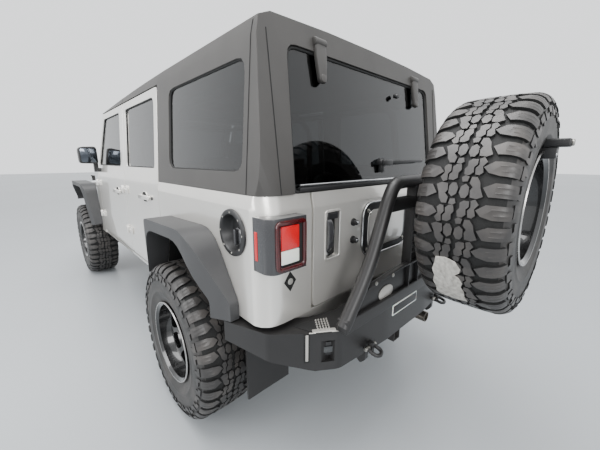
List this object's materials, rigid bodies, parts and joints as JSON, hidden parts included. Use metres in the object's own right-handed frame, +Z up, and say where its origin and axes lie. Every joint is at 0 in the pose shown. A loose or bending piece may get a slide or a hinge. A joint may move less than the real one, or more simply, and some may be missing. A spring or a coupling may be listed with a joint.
{
  "type": "four-door off-road suv",
  "caption": "Boxy four-door off-road suv with hinged doors, hood and tailgate, steering and rolling wheels, and a swing-out spare wheel carrier.",
  "frame": {"origin": "on the ground under the middle of the car's outer box", "axes": "+X forward, +Y to the car's left, +Z up"},
  "size_m": [5.09, 1.9318, 1.979],
  "materials": {
    "body_paint": "metallic silver clear coat, gloss",
    "hardtop_shell": "dark grey moulded top, fine grain, satin",
    "flare_plastic": "dark grey moulded plastic, fine grain",
    "glass": "dark tinted glass",
    "black_trim": "black moulded plastic",
    "lamp_lens": "clear red and white lens in a dark bezel",
    "chassis_black": "black chassis paint, dusty",
    "cast_metal": "raw casting",
    "exhaust_steel": "dull stainless steel",
    "satin_black_steel": "textured satin black powder coat",
    "seat_fabric": "dark woven cloth",
    "tyre_rubber": "matt tyre rubber",
    "black_alloy": "satin black cast alloy"
  },
  "bodies": {
    "body": {"body_tub": "body_paint", "windshield_frame": "body_paint", "grille": "body_paint", "front_fender_left": "body_paint", "front_fender_right": "body_paint", "hardtop": "hardtop_shell", "roof_front_panel": "hardtop_shell", "front_flare_left": "flare_plastic", "front_flare_right": "flare_plastic", "rear_flare_left": "flare_plastic", "rear_flare_right": "flare_plastic", "windshield_glass": "glass", "quarter_glass_left": "glass", "quarter_glass_right": "glass", "rear_glass": "glass", "fuel_filler": "black_trim", "dashboard": "black_trim", "tail_light_left": "lamp_lens", "tail_light_right": "lamp_lens", "frame": "chassis_black", "front_axle": "chassis_black", "rear_axle": "chassis_black", "fuel_tank": "chassis_black", "powertrain": "cast_metal", "exhaust": "exhaust_steel", "front_bumper": "satin_black_steel", "rear_bumper": "satin_black_steel", "roll_cage": "satin_black_steel", "front_seat_left": "seat_fabric", "front_seat_right": "seat_fabric", "rear_seat": "seat_fabric"},
    "front_left_wheel": {"front_left_tyre": "tyre_rubber", "front_left_rim": "black_alloy"},
    "front_right_wheel": {"front_right_tyre": "tyre_rubber", "front_right_rim": "black_alloy"},
    "rear_left_wheel": {"rear_left_tyre": "tyre_rubber", "rear_left_rim": "black_alloy"},
    "rear_right_wheel": {"rear_right_tyre": "tyre_rubber", "rear_right_rim": "black_alloy"},
    "left_knuckle": {"knuckle_left": "chassis_black"},
    "right_knuckle": {"knuckle_right": "chassis_black"},
    "tie_rod": {"tie_rod": "chassis_black"},
    "front_left_door": {"front_door_left": "body_paint", "front_door_glass_left": "glass", "mirror_left": "black_trim"},
    "front_right_door": {"front_door_right": "body_paint", "front_door_glass_right": "glass", "mirror_right": "black_trim"},
    "rear_left_door": {"rear_door_left": "body_paint", "rear_door_glass_left": "glass"},
    "rear_right_door": {"rear_door_right": "body_paint", "rear_door_glass_right": "glass"},
    "hood": {"hood": "body_paint"},
    "tailgate": {"tailgate": "body_paint"},
    "carrier": {"tyre_carrier": "satin_black_steel", "spare_tyre": "tyre_rubber", "spare_rim": "black_alloy"}
  },
  "joints": [
    {"name": "steer_left", "type": "hinge", "parent": "body", "child": "left_knuckle", "pos_m": [1.844, 0.72, 0.44064], "axis": [0, 0, 1], "range_deg": [-30, 30]},
    {"name": "steer_right", "type": "hinge", "parent": "body", "child": "right_knuckle", "pos_m": [1.844, -0.72, 0.44064], "axis": [0, 0, 1], "range_deg": [-30, 30]},
    {"name": "spin_front_left", "type": "hinge", "parent": "left_knuckle", "child": "front_left_wheel", "pos_m": [1.844, 0.798, 0.44064], "axis": [0, 1, 0], "continuous": true},
    {"name": "spin_rear_left", "type": "hinge", "parent": "body", "child": "rear_left_wheel", "pos_m": [-1.164, 0.798, 0.44064], "axis": [0, 1, 0], "continuous": true},
    {"name": "spin_front_right", "type": "hinge", "parent": "right_knuckle", "child": "front_right_wheel", "pos_m": [1.844, -0.798, 0.44064], "axis": [0, 1, 0], "continuous": true},
    {"name": "spin_rear_right", "type": "hinge", "parent": "body", "child": "rear_right_wheel", "pos_m": [-1.164, -0.798, 0.44064], "axis": [0, 1, 0], "continuous": true},
    {"name": "tie_rod_slide", "type": "slide", "parent": "body", "child": "tie_rod", "axis": [0, 1, 0], "range_m": [-0.05, 0.05]},
    {"name": "door_front_left", "type": "hinge", "parent": "body", "child": "front_left_door", "pos_m": [1.137, 0.812, 1.2], "axis": [0, 0, 1], "range_deg": [-65, 0]},
    {"name": "door_rear_left", "type": "hinge", "parent": "body", "child": "rear_left_door", "pos_m": [0.053, 0.812, 1.2], "axis": [0, 0, 1], "range_deg": [-65, 0]},
    {"name": "door_front_right", "type": "hinge", "parent": "body", "child": "front_right_door", "pos_m": [1.137, -0.812, 1.2], "axis": [0, 0, 1], "range_deg": [0, 65]},
    {"name": "door_rear_right", "type": "hinge", "parent": "body", "child": "rear_right_door", "pos_m": [0.053, -0.812, 1.2], "axis": [0, 0, 1], "range_deg": [0, 65]},
    {"name": "hood_hinge", "type": "hinge", "parent": "body", "child": "hood", "pos_m": [1.29, 0, 1.315], "axis": [0, -1, 0], "range_deg": [0, 75]},
    {"name": "carrier_swing", "type": "hinge", "parent": "body", "child": "carrier", "pos_m": [-2, -0.64, 0.82], "axis": [0, 0, 1], "range_deg": [0, 110]},
    {"name": "tailgate_hinge", "type": "hinge", "parent": "body", "child": "tailgate", "pos_m": [-1.895, -0.545, 1], "axis": [0, 0, 1], "range_deg": [0, 94]}
  ],
  "couplings": [
    {"joint": "steer_right", "follows": "steer_left", "ratio": 1},
    {"joint": "tie_rod_slide", "follows": "steer_left", "m_per_rad": -0.0907},
    {"joint": "tailgate_hinge", "follows": "carrier_swing", "ratio": 0.85}
  ]
}
